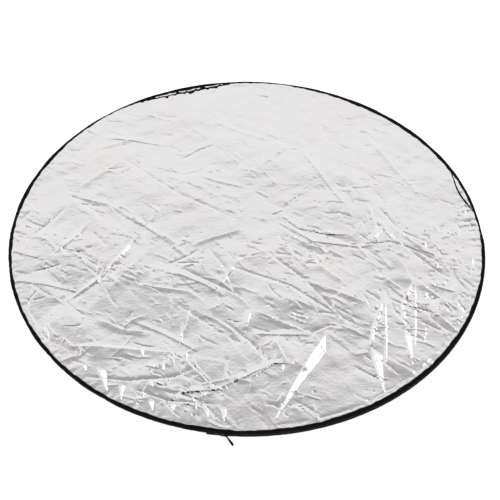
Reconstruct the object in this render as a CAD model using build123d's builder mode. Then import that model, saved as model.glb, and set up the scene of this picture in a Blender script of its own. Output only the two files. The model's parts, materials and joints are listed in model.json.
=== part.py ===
"""A collapsible reflector disc, 43 inch class: a zipped silver cover over a diffuser disc with a spring steel hoop.

Millimetres, +Z up. The disc lies silver side up with the middle of its underside at the origin.
Angles run anticlockwise from +X, seen from above. The front of the disc is at -Y.
"""

from build123d import *
import math
import os

# Whole disc
disc_diameter = 1100.0
rim_height = 15.0

# Black edge binding
binding_width = 8.5
binding_thickness = 0.8
skirt_height = 2.5

# Cover sheets
foil_thickness = 0.2
lining_thickness = 0.3
sewing_gap = 0.1

# Seam thread, sunk in the binding
thread_width = 0.5
thread_depth = 0.3
thread_proud = 0.2
thread_recess = 0.05
thread_inset = 1.5

# Zip: the sewn-in length, and the smaller part of it that opens as a flap
zip_start_angle = -98.2
zip_end_angle = -0.5
fold_start_angle = -92.2
fold_end_angle = -5.5
fold_gap = 0.6
tape_thickness = 0.7
tape_edge_gap = 0.8
coil_thickness = 1.7
coil_row_width = 2.8
coil_row_gap = 1.2
stop_length = 5.0
coil_start_angle = -95.9
coil_end_angle = -2.0
stop_gap_angle = 0.02

# Zip slider
pivot_angle = -93.9
slider_length = 16.0
slider_clearance = 0.3
plate_thickness = 1.2
plate_corner = 2.0
lip_length = 11.0
lip_thickness = 0.9
lip_reach = 1.7
blade_thickness = 0.7
blade_length = 7.0
blade_setback = 1.0
pivot_setback = 4.0

# Crown on the slider
crown_length = 5.6
crown_height = 3.2
crown_width = 2.0
crown_corner = 0.8
crown_window_length = 3.2
crown_window_height = 1.5
crown_window_base = 0.5

# Pull tab
tab_length = 25.0
tab_width = 6.0
tab_thickness = 1.2
tab_corner = 1.2
tab_bar_radius = 0.65
tab_eye_length = 3.8
tab_eye_width = 2.7
tab_slot_length = 9.0
tab_slot_width = 2.6
tab_slot_from_end = 3.0
tab_rest_angle = 53.0

# Diffuser disc inside the cover
diffuser_clearance = 0.35
slider_to_diffuser = 0.6
diffuser_sheet_thickness = 0.3
diffuser_tape = 0.8
diffuser_flange_gap = 0.25
diffuser_flange_flat = 4.0
diffuser_flange_width = 21.0
band_width = 8.0
band_thickness = 1.0
band_sleeve_gap = 0.1
sleeve_thickness = 0.7
sleeve_length = 30.0
sleeve_angle = 90.0
rivet_radius = 1.5
rivet_spacing = 16.0
hoop_gap = 0.2

# Worked-out radii
rim_radius = disc_diameter / 2
rim_inner_radius = rim_radius - binding_thickness
flange_radius = rim_radius - binding_width
tape_outer_radius = rim_inner_radius - sewing_gap
tape_inner_radius = tape_outer_radius - tape_thickness
coil_outer_radius = tape_outer_radius + coil_thickness
front_sheet_radius = tape_inner_radius - sewing_gap
back_sheet_radius = flange_radius - sewing_gap
thread_radius = flange_radius + thread_inset

# Worked-out levels
zip_height = rim_height / 2
flange_under = rim_height - binding_thickness
foil_top = flange_under - sewing_gap
foil_under = foil_top - foil_thickness
front_lining_under = foil_under - sewing_gap - lining_thickness
back_lining_under = foil_thickness + sewing_gap
back_lining_top = back_lining_under + lining_thickness
tape_top = rim_height - tape_edge_gap - sewing_gap
tape_bottom_edge = zip_height + coil_row_gap / 2
coil_row_top = tape_bottom_edge + coil_row_width
fold_height = rim_height + thread_proud

# Worked-out angles
full_turn = 360.0
zip_arc = zip_end_angle - zip_start_angle
sewn_arc = full_turn - zip_arc
coil_arc = coil_end_angle - coil_start_angle
slider_angle = pivot_angle - math.degrees(pivot_setback / tape_outer_radius)
stop_arc = math.degrees(stop_length / coil_outer_radius)
fold_middle_angle = (fold_start_angle + fold_end_angle) / 2
fold_half_angle = (fold_end_angle - fold_start_angle) / 2

# Worked-out diffuser disc: its level is midway between the two linings
hoop_height = (back_lining_top + front_lining_under) / 2
hoop_half = (front_lining_under - back_lining_top) / 2 - diffuser_clearance
slider_inner_radius = tape_inner_radius - slider_clearance - plate_thickness
hoop_radius = slider_inner_radius - slider_to_diffuser
hoop_wall_radius = hoop_radius - diffuser_tape
sleeve_outer_radius = hoop_wall_radius - hoop_gap
band_outer_radius = sleeve_outer_radius - sleeve_thickness
band_inner_radius = band_outer_radius - band_thickness
sleeve_inner_radius = band_inner_radius - sleeve_thickness
pocket_radius = sleeve_inner_radius - hoop_gap
flange_edge_radius = hoop_radius - diffuser_flange_width
flange_flat_radius = flange_edge_radius + diffuser_flange_flat
diffuser_sheet_radius = pocket_radius - hoop_gap

# Worked-out slider: levels are distances outward from the zip tape's outer face
slider_width = 2 * (coil_row_top - zip_height + slider_clearance + lip_thickness)
inner_plate_level = -tape_thickness - slider_clearance - plate_thickness
outer_plate_level = coil_thickness + slider_clearance
crown_level = outer_plate_level + plate_thickness
pivot_level = crown_level + crown_window_base + crown_window_height / 2


def direction(angle):
    """The level unit vector at an angle from +X."""
    return Vector(math.cos(math.radians(angle)), math.sin(math.radians(angle)), 0)


def radial_plane(angle):
    """The upright plane through the disc's axis: its x runs outward at the angle, and its y runs up."""
    outward = direction(angle)
    return Plane(origin=(0, 0, 0), x_dir=outward, z_dir=outward.cross(Vector(0, 0, 1)))


def track_plane(angle, level):
    """The upright plane across the zip at an angle: x runs along the zip, y runs up and z runs outward."""
    outward = direction(angle)
    origin = outward * (tape_outer_radius + level) + Vector(0, 0, zip_height)
    return Plane(origin=origin, x_dir=direction(angle + full_turn / 4), z_dir=outward)


def band_section(inner, outer, low, high):
    """Draws a rectangle between two radii and two levels."""
    with Locations(((inner + outer) / 2, (low + high) / 2)):
        Rectangle(outer - inner, high - low)


def groove_sections(levels):
    """Cuts the thread's groove out of a binding section, at each flange named by its outer face's level."""
    for face, depth in levels:
        with Locations((thread_radius, face + depth / 2)):
            Rectangle(thread_width, thread_depth, mode=Mode.SUBTRACT)


def fixed_side():
    """Keeps what lies behind the fold, less half of the fold gap."""
    split(bisect_by=fold_plane.offset(-fold_gap / 2), keep=Keep.BOTTOM)


def flap_side():
    """Keeps what lies beyond the fold, less half of the fold gap."""
    split(bisect_by=fold_plane.offset(fold_gap / 2), keep=Keep.TOP)


os.makedirs("parts", exist_ok=True)

fold_direction = direction(fold_middle_angle)
fold_distance = rim_radius * math.cos(math.radians(fold_half_angle))
fold_plane = Plane(
    origin=fold_direction * fold_distance,
    x_dir=fold_direction.cross(Vector(0, 0, 1)),
    z_dir=fold_direction,
)

# Cover: silver front sheet, split at the fold line behind the zip
with BuildPart() as whole_front_foil:
    with BuildSketch(Plane.XY.offset(foil_under)):
        Circle(front_sheet_radius)
    extrude(amount=foil_thickness)

with BuildPart() as front_foil:
    add(whole_front_foil.part)
    fixed_side()
front_foil.part.label = "front_foil"
export_step(front_foil.part, "parts/front_foil.step")

with BuildPart() as front_foil_flap:
    add(whole_front_foil.part)
    flap_side()
front_foil_flap.part.label = "front_foil_flap"
export_step(front_foil_flap.part, "parts/front_foil_flap.step")

# Cover: lining under the silver sheet
with BuildPart() as whole_front_lining:
    with BuildSketch(Plane.XY.offset(front_lining_under)):
        Circle(front_sheet_radius)
    extrude(amount=lining_thickness)

with BuildPart() as front_lining:
    add(whole_front_lining.part)
    fixed_side()
front_lining.part.label = "front_lining"
export_step(front_lining.part, "parts/front_lining.step")

with BuildPart() as front_lining_flap:
    add(whole_front_lining.part)
    flap_side()
front_lining_flap.part.label = "front_lining_flap"
export_step(front_lining_flap.part, "parts/front_lining_flap.step")

# Cover: back sheet, which the disc rests on, and its lining
with BuildPart() as back_foil:
    with BuildSketch(Plane.XY):
        Circle(back_sheet_radius)
    extrude(amount=foil_thickness)
back_foil.part.label = "back_foil"
export_step(back_foil.part, "parts/back_foil.step")

with BuildPart() as back_lining:
    with BuildSketch(Plane.XY.offset(back_lining_under)):
        Circle(back_sheet_radius)
    extrude(amount=lining_thickness)
back_lining.part.label = "back_lining"
export_step(back_lining.part, "parts/back_lining.step")

# Edge binding where front and back are sewn together: a channel round both sheets
with BuildPart() as rim_binding:
    with BuildSketch(radial_plane(zip_end_angle)):
        band_section(flange_radius, rim_radius, flange_under, rim_height)
        band_section(rim_inner_radius, rim_radius, 0, rim_height)
        band_section(flange_radius, rim_radius, 0, binding_thickness)
        groove_sections([(rim_height, -thread_depth), (0, thread_depth)])
    revolve(axis=Axis.Z, revolution_arc=sewn_arc)
rim_binding.part.label = "rim_binding"
export_step(rim_binding.part, "parts/rim_binding.step")

# Edge binding along the zip: one tape under it, and one over it that is split at the fold line
with BuildPart() as back_zip_binding:
    with BuildSketch(radial_plane(zip_start_angle)):
        band_section(flange_radius, rim_radius, 0, binding_thickness)
        band_section(rim_inner_radius, rim_radius, 0, skirt_height)
        groove_sections([(0, thread_depth)])
    revolve(axis=Axis.Z, revolution_arc=zip_arc)
back_zip_binding.part.label = "back_zip_binding"
export_step(back_zip_binding.part, "parts/back_zip_binding.step")

with BuildPart() as whole_front_zip_binding:
    with BuildSketch(radial_plane(zip_start_angle)):
        band_section(flange_radius, rim_radius, flange_under, rim_height)
        band_section(rim_inner_radius, rim_radius, rim_height - skirt_height, rim_height)
        groove_sections([(rim_height, -thread_depth)])
    revolve(axis=Axis.Z, revolution_arc=zip_arc)

with BuildPart() as front_zip_binding:
    add(whole_front_zip_binding.part)
    flap_side()
front_zip_binding.part.label = "front_zip_binding"
export_step(front_zip_binding.part, "parts/front_zip_binding.step")

with BuildPart() as front_zip_binding_ends:
    add(whole_front_zip_binding.part)
    fixed_side()
front_zip_binding_ends.part.label = "front_zip_binding_ends"
export_step(front_zip_binding_ends.part, "parts/front_zip_binding_ends.step")

# Seam threads of the edge binding
with BuildPart() as whole_front_thread:
    with BuildSketch(Plane.XZ):
        band_section(
            thread_radius - thread_width / 2,
            thread_radius + thread_width / 2,
            rim_height - thread_depth,
            fold_height,
        )
    revolve(axis=Axis.Z, revolution_arc=full_turn)

with BuildPart() as front_seam_thread:
    add(whole_front_thread.part)
    fixed_side()
front_seam_thread.part.label = "front_seam_thread"
export_step(front_seam_thread.part, "parts/front_seam_thread.step")

with BuildPart() as front_seam_thread_flap:
    add(whole_front_thread.part)
    flap_side()
front_seam_thread_flap.part.label = "front_seam_thread_flap"
export_step(front_seam_thread_flap.part, "parts/front_seam_thread_flap.step")

with BuildPart() as back_seam_thread:
    with BuildSketch(Plane.XZ):
        band_section(
            thread_radius - thread_width / 2,
            thread_radius + thread_width / 2,
            thread_recess,
            thread_depth,
        )
    revolve(axis=Axis.Z, revolution_arc=full_turn)
back_seam_thread.part.label = "back_seam_thread"
export_step(back_seam_thread.part, "parts/back_seam_thread.step")

# Zip tapes: the lower one is whole, and the upper one is split at the fold line
with BuildPart() as zip_tape_lower:
    with BuildSketch(radial_plane(zip_start_angle)):
        band_section(
            tape_inner_radius,
            tape_outer_radius,
            rim_height - tape_top,
            rim_height - tape_bottom_edge,
        )
    revolve(axis=Axis.Z, revolution_arc=zip_arc)
zip_tape_lower.part.label = "zip_tape_lower"
export_step(zip_tape_lower.part, "parts/zip_tape_lower.step")

with BuildPart() as whole_tape_upper:
    with BuildSketch(radial_plane(zip_start_angle)):
        band_section(tape_inner_radius, tape_outer_radius, tape_bottom_edge, tape_top)
    revolve(axis=Axis.Z, revolution_arc=zip_arc)

with BuildPart() as zip_tape_upper:
    add(whole_tape_upper.part)
    flap_side()
zip_tape_upper.part.label = "zip_tape_upper"
export_step(zip_tape_upper.part, "parts/zip_tape_upper.step")

with BuildPart() as zip_tape_upper_ends:
    add(whole_tape_upper.part)
    fixed_side()
zip_tape_upper_ends.part.label = "zip_tape_upper_ends"
export_step(zip_tape_upper_ends.part, "parts/zip_tape_upper_ends.step")

# Zip coils, one row on each tape
with BuildPart() as zip_coil_lower:
    with BuildSketch(radial_plane(coil_start_angle)):
        band_section(
            tape_outer_radius,
            coil_outer_radius,
            rim_height - coil_row_top,
            rim_height - tape_bottom_edge,
        )
    revolve(axis=Axis.Z, revolution_arc=coil_arc)
zip_coil_lower.part.label = "zip_coil_lower"
export_step(zip_coil_lower.part, "parts/zip_coil_lower.step")

with BuildPart() as whole_coil_upper:
    with BuildSketch(radial_plane(coil_start_angle)):
        band_section(tape_outer_radius, coil_outer_radius, tape_bottom_edge, coil_row_top)
    revolve(axis=Axis.Z, revolution_arc=coil_arc)

with BuildPart() as zip_coil_upper:
    add(whole_coil_upper.part)
    flap_side()
zip_coil_upper.part.label = "zip_coil_upper"
export_step(zip_coil_upper.part, "parts/zip_coil_upper.step")

with BuildPart() as zip_coil_upper_ends:
    add(whole_coil_upper.part)
    fixed_side()
zip_coil_upper_ends.part.label = "zip_coil_upper_ends"
export_step(zip_coil_upper_ends.part, "parts/zip_coil_upper_ends.step")

# Zip stops: one on each row where the slider closes, and one across both rows where it opens
with BuildPart() as zip_top_stops:
    with BuildSketch(radial_plane(coil_start_angle - stop_gap_angle - stop_arc)):
        band_section(tape_outer_radius, coil_outer_radius, tape_bottom_edge, coil_row_top)
        band_section(
            tape_outer_radius,
            coil_outer_radius,
            rim_height - coil_row_top,
            rim_height - tape_bottom_edge,
        )
    revolve(axis=Axis.Z, revolution_arc=stop_arc)
zip_top_stops.part.label = "zip_top_stops"
export_step(zip_top_stops.part, "parts/zip_top_stops.step")

with BuildPart() as zip_bottom_stop:
    with BuildSketch(radial_plane(coil_end_angle + stop_gap_angle)):
        band_section(
            tape_outer_radius, coil_outer_radius, rim_height - coil_row_top, coil_row_top
        )
    revolve(axis=Axis.Z, revolution_arc=stop_arc)
zip_bottom_stop.part.label = "zip_bottom_stop"
export_step(zip_bottom_stop.part, "parts/zip_bottom_stop.step")

# Zip slider: an inner and an outer plate joined by a blade between the coil rows, with lips over the rows
with BuildPart() as slider_body:
    for plate_level in (inner_plate_level, outer_plate_level):
        with BuildSketch(track_plane(slider_angle, plate_level)):
            RectangleRounded(slider_length, slider_width, plate_corner)
        extrude(amount=plate_thickness)
    with BuildSketch(track_plane(slider_angle, inner_plate_level + plate_thickness)):
        with Locations((blade_setback + (blade_length - slider_length) / 2, 0)):
            Rectangle(blade_length, blade_thickness)
    extrude(amount=outer_plate_level - inner_plate_level - plate_thickness)
    with BuildSketch(track_plane(slider_angle, outer_plate_level - lip_reach)):
        with GridLocations(0, slider_width - lip_thickness, 1, 2):
            Rectangle(lip_length, lip_thickness)
    extrude(amount=lip_reach)
slider_body.part.label = "slider_body"
export_step(slider_body.part, "parts/slider_body.step")

# Crown: an arch on the slider that holds the pull tab's bar
pivot_outward = direction(slider_angle)
pivot_along = direction(slider_angle + full_turn / 4)
crown_base = (
    pivot_outward * (tape_outer_radius + crown_level)
    + pivot_along * pivot_setback
    + Vector(0, 0, zip_height)
)
crown_plane = Plane(origin=crown_base, x_dir=pivot_along, z_dir=(0, 0, -1))
with BuildPart() as slider_crown:
    with BuildSketch(crown_plane):
        with Locations((0, crown_height / 2)):
            Rectangle(crown_length, crown_height)
        with Locations((0, crown_window_base + crown_window_height / 2)):
            Rectangle(crown_window_length, crown_window_height, mode=Mode.SUBTRACT)
    extrude(amount=crown_width / 2, both=True)
    crown_top_edges = slider_crown.edges().filter_by(Axis.Z).group_by(Axis(crown_base, pivot_outward))[-1]
    fillet(crown_top_edges, crown_corner)
slider_crown.part.label = "slider_crown"
export_step(slider_crown.part, "parts/slider_crown.step")

# Pull tab: a flat tab with an eye round the crown, a bar under the crown and a slot near its free end
tab_turn = math.radians(tab_rest_angle)
tab_direction = pivot_along * math.cos(tab_turn) + pivot_outward * math.sin(tab_turn)
pivot_point = crown_base + pivot_outward * (pivot_level - crown_level)
tab_plane = Plane(
    origin=pivot_point, x_dir=tab_direction, z_dir=tab_direction.cross(Vector(0, 0, 1))
)
with BuildPart() as pull_tab:
    with BuildSketch(tab_plane):
        with Locations(((tab_length - tab_bar_radius) / 2, 0)):
            RectangleRounded(tab_length + tab_bar_radius, tab_width, tab_corner)
        with Locations(((tab_eye_length - tab_bar_radius) / 2, 0)):
            Rectangle(tab_eye_length + tab_bar_radius, tab_eye_width, mode=Mode.SUBTRACT)
        with Locations((tab_length - tab_slot_from_end - tab_slot_length / 2, 0)):
            SlotOverall(tab_slot_length, tab_slot_width, mode=Mode.SUBTRACT)
    extrude(amount=tab_thickness / 2, both=True)
    with Locations(pivot_point):
        Cylinder(tab_bar_radius, tab_width - 2 * tab_corner)
pull_tab.part.label = "pull_tab"
export_step(pull_tab.part, "parts/pull_tab.step")

# Diffuser disc: translucent sheet
with BuildPart() as diffuser_sheet:
    with BuildSketch(Plane.XY.offset(hoop_height - diffuser_sheet_thickness / 2)):
        Circle(diffuser_sheet_radius)
    extrude(amount=diffuser_sheet_thickness)
diffuser_sheet.part.label = "diffuser_sheet"
export_step(diffuser_sheet.part, "parts/diffuser_sheet.step")

# Diffuser disc: tape folded round the hoop, its two edges sewn flat on the sheet
with BuildPart() as diffuser_binding:
    with BuildSketch(Plane.XZ):
        with BuildLine():
            flange_top = diffuser_flange_gap + diffuser_tape
            pocket_half = hoop_half - diffuser_tape
            outer_half = [
                (flange_edge_radius, hoop_height + diffuser_flange_gap),
                (flange_edge_radius, hoop_height + flange_top),
                (flange_flat_radius, hoop_height + flange_top),
                (pocket_radius, hoop_height + hoop_half),
                (hoop_radius, hoop_height + hoop_half),
            ]
            inner_half = [
                (hoop_wall_radius, hoop_height + pocket_half),
                (pocket_radius, hoop_height + pocket_half),
                (flange_flat_radius, hoop_height + diffuser_flange_gap),
                (flange_edge_radius, hoop_height + diffuser_flange_gap),
            ]
            outer_mirror = [(x, 2 * hoop_height - y) for x, y in reversed(outer_half)]
            inner_mirror = [(x, 2 * hoop_height - y) for x, y in reversed(inner_half)]
            Polyline(*outer_half, *outer_mirror, *inner_mirror[1:], *inner_half[:-1], close=True)
        make_face()
    revolve(axis=Axis.Z, revolution_arc=full_turn)
diffuser_binding.part.label = "diffuser_binding"
export_step(diffuser_binding.part, "parts/diffuser_binding.step")

# Diffuser disc: seam thread on both flanges
with BuildPart() as diffuser_seam_thread:
    seam_inner = flange_edge_radius + thread_inset
    thread_bottom = diffuser_flange_gap + diffuser_tape
    with BuildSketch(Plane.XZ):
        for side in (-1, 1):
            low_level = hoop_height + side * thread_bottom
            high_level = low_level + side * thread_proud
            band_section(
                seam_inner,
                seam_inner + thread_width,
                min(low_level, high_level),
                max(low_level, high_level),
            )
    revolve(axis=Axis.Z, revolution_arc=full_turn)
diffuser_seam_thread.part.label = "diffuser_seam_thread"
export_step(diffuser_seam_thread.part, "parts/diffuser_seam_thread.step")

# Spring steel hoop: one flat band bent to a ring, its ends held in a sleeve with two rivets
rivet_half_angle = math.degrees(rivet_spacing / 2 / band_outer_radius)
rivet_angles = (sleeve_angle - rivet_half_angle, sleeve_angle + rivet_half_angle)
rivet_planes = [
    Plane(origin=(0, 0, hoop_height), x_dir=(0, 0, 1), z_dir=direction(angle))
    for angle in rivet_angles
]
rivet_length = sleeve_outer_radius - sleeve_inner_radius

with BuildPart() as spring_band:
    with BuildSketch(Plane.XZ):
        band_section(
            band_inner_radius,
            band_outer_radius,
            hoop_height - band_width / 2,
            hoop_height + band_width / 2,
        )
    revolve(axis=Axis.Z, revolution_arc=full_turn)
    for rivet_plane in rivet_planes:
        with BuildSketch(rivet_plane.offset(sleeve_inner_radius)):
            Circle(rivet_radius)
        extrude(amount=rivet_length, mode=Mode.SUBTRACT)
spring_band.part.label = "spring_band"
export_step(spring_band.part, "parts/spring_band.step")

sleeve_arc = math.degrees(sleeve_length / band_outer_radius)
with BuildPart() as band_sleeve:
    with BuildSketch(radial_plane(sleeve_angle - sleeve_arc / 2)):
        band_section(
            sleeve_inner_radius,
            sleeve_outer_radius,
            hoop_height - band_width / 2 - sleeve_thickness,
            hoop_height + band_width / 2 + sleeve_thickness,
        )
        with Locations(((band_inner_radius + band_outer_radius) / 2, hoop_height)):
            Rectangle(
                band_thickness + 2 * band_sleeve_gap,
                band_width + 2 * band_sleeve_gap,
                mode=Mode.SUBTRACT,
            )
    revolve(axis=Axis.Z, revolution_arc=sleeve_arc)
    for rivet_plane in rivet_planes:
        with BuildSketch(rivet_plane.offset(sleeve_inner_radius - rivet_radius)):
            Circle(rivet_radius)
        extrude(amount=rivet_length + 2 * rivet_radius, mode=Mode.SUBTRACT)
band_sleeve.part.label = "band_sleeve"
export_step(band_sleeve.part, "parts/band_sleeve.step")

with BuildPart() as band_rivets:
    for rivet_plane in rivet_planes:
        with BuildSketch(rivet_plane.offset(sleeve_inner_radius)):
            Circle(rivet_radius)
        extrude(amount=rivet_length)
band_rivets.part.label = "band_rivets"
export_step(band_rivets.part, "parts/band_rivets.step")

print("fold point", fold_direction * fold_distance, "height", fold_height)
print("pivot point", pivot_point, "slider angle", slider_angle)
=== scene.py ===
"""Looks of the collapsible reflector disc: crumpled silver cover, black bound edge, zip and diffuser disc.

Metres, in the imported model's frame: +Z up, the disc's axis is Z and the front of the disc is at -Y.
Angles are in degrees round the disc's axis, from +X towards +Y.
"""

import json
import math

import bpy
import numpy as np
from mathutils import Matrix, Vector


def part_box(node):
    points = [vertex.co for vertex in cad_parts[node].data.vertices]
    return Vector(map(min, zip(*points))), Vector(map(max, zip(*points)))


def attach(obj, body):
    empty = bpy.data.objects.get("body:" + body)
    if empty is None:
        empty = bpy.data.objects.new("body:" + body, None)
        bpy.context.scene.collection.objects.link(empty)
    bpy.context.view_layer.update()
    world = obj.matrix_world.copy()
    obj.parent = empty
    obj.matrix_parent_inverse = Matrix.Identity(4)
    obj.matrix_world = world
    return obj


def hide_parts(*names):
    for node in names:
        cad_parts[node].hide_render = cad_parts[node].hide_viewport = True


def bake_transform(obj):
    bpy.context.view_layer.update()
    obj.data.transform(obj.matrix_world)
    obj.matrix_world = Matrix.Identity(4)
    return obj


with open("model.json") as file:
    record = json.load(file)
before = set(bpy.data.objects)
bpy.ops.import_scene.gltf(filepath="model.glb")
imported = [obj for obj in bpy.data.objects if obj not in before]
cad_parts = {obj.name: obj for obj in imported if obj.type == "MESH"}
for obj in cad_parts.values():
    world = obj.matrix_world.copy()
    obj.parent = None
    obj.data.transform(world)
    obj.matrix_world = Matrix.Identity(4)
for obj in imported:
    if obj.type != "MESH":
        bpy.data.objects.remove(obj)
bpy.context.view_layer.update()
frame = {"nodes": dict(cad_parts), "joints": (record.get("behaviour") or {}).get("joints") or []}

MM = 0.001


def outer_radius(node):
    """The largest distance from the disc's axis of a node that goes far enough round it."""
    low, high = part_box(node)
    return max(-low.x, -low.y, high.x, high.y)


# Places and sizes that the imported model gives
rim_radius = outer_radius("rim_binding")
rim_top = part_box("rim_binding")[1].z
film_radius = outer_radius("front_foil") - 1 * MM
back_radius = outer_radius("back_foil")
hoop_radius = outer_radius("diffuser_binding")
hoop_low, hoop_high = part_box("diffuser_binding")
hoop_level = (hoop_low.z + hoop_high.z) / 2
diffuser_radius = outer_radius("diffuser_sheet")
thread_radius = outer_radius("front_seam_thread") - 0.25 * MM
hoop_thread_radius = outer_radius("diffuser_seam_thread") - 0.25 * MM
tape_low, tape_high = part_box("zip_tape_upper")
zip_level = rim_top / 2

# The zip's part of the edge, its coils, and the sewn part
ZIP_START, ZIP_END = -98.2, -0.5
COIL_START, COIL_END = -95.9, -2.0
SEWN_END = 360 + ZIP_START


# ---- mesh making


def add_mesh(name, vertices, faces, material, smooth=True):
    """A mesh object from vertices and faces, with one material."""
    data = bpy.data.meshes.new(name)
    data.from_pydata(np.asarray(vertices, float).tolist(), [], [list(map(int, face)) for face in faces])
    data.polygons.foreach_set("use_smooth", [smooth] * len(data.polygons))
    data.materials.append(material)
    piece = bpy.data.objects.new(name, data)
    bpy.context.scene.collection.objects.link(piece)
    return piece


def crisp(piece, angle):
    """Shades a piece smooth except at edges sharper than the angle."""
    piece.data.set_sharp_from_angle(angle=math.radians(angle))


def ring_disc(radius, rings):
    """Points and triangles of a disc made of rings, where ring k has 6 k points."""
    points = [np.zeros((1, 2))]
    faces = []
    start = 0
    for ring in range(1, rings + 1):
        count = 6 * ring
        turn = 2 * np.pi * np.arange(count) / count
        points.append(radius * ring / rings * np.column_stack([np.cos(turn), np.sin(turn)]))
        inner_count = max(1, 6 * (ring - 1))
        outer_start = start + inner_count
        for sector in range(6):
            inner = start + (sector * (ring - 1) + np.arange(ring)) % inner_count
            outer = outer_start + (sector * ring + np.arange(ring + 1)) % count
            faces.append(np.column_stack([inner, outer[:-1], outer[1:]]))
            faces.append(np.column_stack([inner[:-1], outer[1:-1], inner[1:]]))
        start = outer_start
    return np.vstack(points), np.vstack(faces)


def refine(points, faces, marked):
    """Splits the edges whose middles are marked, and the triangles on both sides of them to match."""
    edges = np.sort(np.vstack([faces[:, [0, 1]], faces[:, [1, 2]], faces[:, [2, 0]]]), axis=1)
    edges, index = np.unique(edges, axis=0, return_inverse=True)
    middles = points[edges].mean(axis=1)
    split = marked(middles)
    added = np.where(split, len(points) + np.cumsum(split) - 1, -1)
    middle = added[index.ravel()].reshape(3, -1).T
    count = (middle >= 0).sum(axis=1)
    made = [faces[count == 0]]
    for number in (1, 2, 3):
        chosen = count == number
        if number == 1:
            shift = np.argmax(middle[chosen] >= 0, axis=1)
        else:
            shift = (np.argmax(middle[chosen] < 0, axis=1) + 1) % 3 * (number == 2)
        order = (np.arange(3) + shift[:, None]) % 3
        a, b, c = np.take_along_axis(faces[chosen], order, axis=1).T
        ab, bc, ca = np.take_along_axis(middle[chosen], order, axis=1).T
        corners = {
            1: [(a, ab, c), (ab, b, c)],
            2: [(ab, b, bc), (a, ab, bc), (a, bc, c)],
            3: [(a, ab, ca), (ab, b, bc), (ca, bc, c), (ab, bc, ca)],
        }[number]
        made += [np.column_stack(corner) for corner in corners]
    return np.vstack([points, middles[split]]), np.vstack(made)


def tube_faces(rings, sides, flip=False, closed=False):
    """The quads along a tube, ring by ring, and its two ends unless it closes on itself."""
    i, j = np.meshgrid(np.arange(rings if closed else rings - 1), np.arange(sides), indexing="ij")
    here, there, following = i * sides, (i + 1) % rings * sides, (j + 1) % sides
    corners = [here + j, here + following, there + following, there + j]
    ends = [list(reversed(range(sides))), list(range((rings - 1) * sides, rings * sides))]
    if flip:
        corners, ends = corners[:1] + corners[:0:-1], [end[::-1] for end in ends]
    return np.stack(corners, axis=2).reshape(-1, 4).tolist() + ([] if closed else ends)


def thick_path(path, thickness):
    """The closed outline of a strip of cloth, from the line that its middle follows."""
    path = np.asarray(path, float)
    along = np.gradient(path, axis=0)
    along /= np.linalg.norm(along, axis=1)[:, None]
    normal = np.column_stack([-along[:, 1], along[:, 0]]) * thickness / 2
    return np.vstack([path + normal, (path - normal)[::-1]])


def swept_band(name, section, angles, material, closed=False):
    """A piece made by carrying a section round the disc's axis, with its cloth laid along it.

    section(angle) gives the closed outline's (radius, height) points at that angle.
    """
    rings = [np.asarray(section(angle), float) for angle in angles]
    size, count = len(rings[0]), len(angles)
    vertices = []
    for angle, ring in zip(angles, rings):
        turn = math.radians(angle)
        vertices.append(
            np.column_stack([ring[:, 0] * math.cos(turn), ring[:, 0] * math.sin(turn), ring[:, 1]])
        )
    faces = tube_faces(count, size, flip=True, closed=closed)
    piece = add_mesh(name, np.vstack(vertices), faces, material)
    i, j = np.meshgrid(np.arange(count if closed else count - 1), np.arange(size), indexing="ij")
    outline = np.vstack([rings[0], rings[0][:1]])
    across = np.concatenate([[0], np.cumsum(np.linalg.norm(np.diff(outline, axis=0), axis=1))])
    step = math.radians(angles[1] - angles[0]) * rim_radius
    u = np.stack([i, i + 1, i + 1, i], axis=2).reshape(-1, 4) * step
    v = across[np.stack([j, j, j + 1, j + 1], axis=2).reshape(-1, 4)]
    cloth = np.zeros((len(piece.data.loops), 2))
    cloth[: u.size] = np.column_stack([u.ravel(), v.ravel()])
    piece.data.uv_layers.new(name="cloth").data.foreach_set("uv", cloth.ravel())
    return piece


def waves(angle, terms):
    """A smooth, irregular amount round the edge, from (waves per turn, size, phase) terms."""
    turn = np.radians(angle)
    return sum(size * np.sin(number * turn + phase) for number, size, phase in terms)


def shapes_along(name, template, template_faces, frames, material):
    """Many copies of a small shape in one mesh. Each frame is (origin, x axis, y axis, z axis)."""
    template = np.asarray(template, float)
    origins, xs, ys, zs = (np.array(part) for part in zip(*frames))
    vertices = (
        origins[:, None]
        + template[None, :, 0:1] * xs[:, None]
        + template[None, :, 1:2] * ys[:, None]
        + template[None, :, 2:3] * zs[:, None]
    ).reshape(-1, 3)
    faces = []
    for index in range(len(frames)):
        shift = index * len(template)
        faces.extend([[corner + shift for corner in face] for face in template_faces])
    return add_mesh(name, vertices, faces, material)


def stitch_shape(length, radius):
    """One stitch: a thread that rises out of the cloth and dips back into it."""
    sides = 6
    stations = [
        (-0.5, 0.45, -0.9), (-0.36, 0.9, -0.1), (-0.12, 1.0, 0.15),
        (0.12, 1.0, 0.15), (0.36, 0.9, -0.1), (0.5, 0.45, -0.9),
    ]
    vertices = []
    for along, scale, rise in stations:
        for side in range(sides):
            turn = 2 * math.pi * side / sides
            across = math.cos(turn) * radius * scale
            vertices.append((along * length, across, math.sin(turn) * radius * scale + rise * radius))
    return vertices, tube_faces(len(stations), sides)


def stitched_seam(name, radius, height, start, end, up, material, pitch=4.0 * MM):
    """A row of lockstitches round the disc. radius(angle) and height(angle) place it, and up is 1 or -1."""
    count = int(math.radians(end - start) * thread_radius / pitch)
    frames = []
    for index in range(count):
        angle = start + (end - start) * (index + 0.5) / count
        turn = math.radians(angle)
        out = np.array([math.cos(turn), math.sin(turn), 0])
        along = np.array([-math.sin(turn), math.cos(turn), 0])
        place = out * radius(angle) + np.array([0, 0, height(angle)])
        frames.append((place, along, out * up, np.array([0, 0, up])))
    return shapes_along(name, *stitch_shape(pitch * 0.78, 0.27 * MM), frames, material)


# ---- crumpled film


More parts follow.
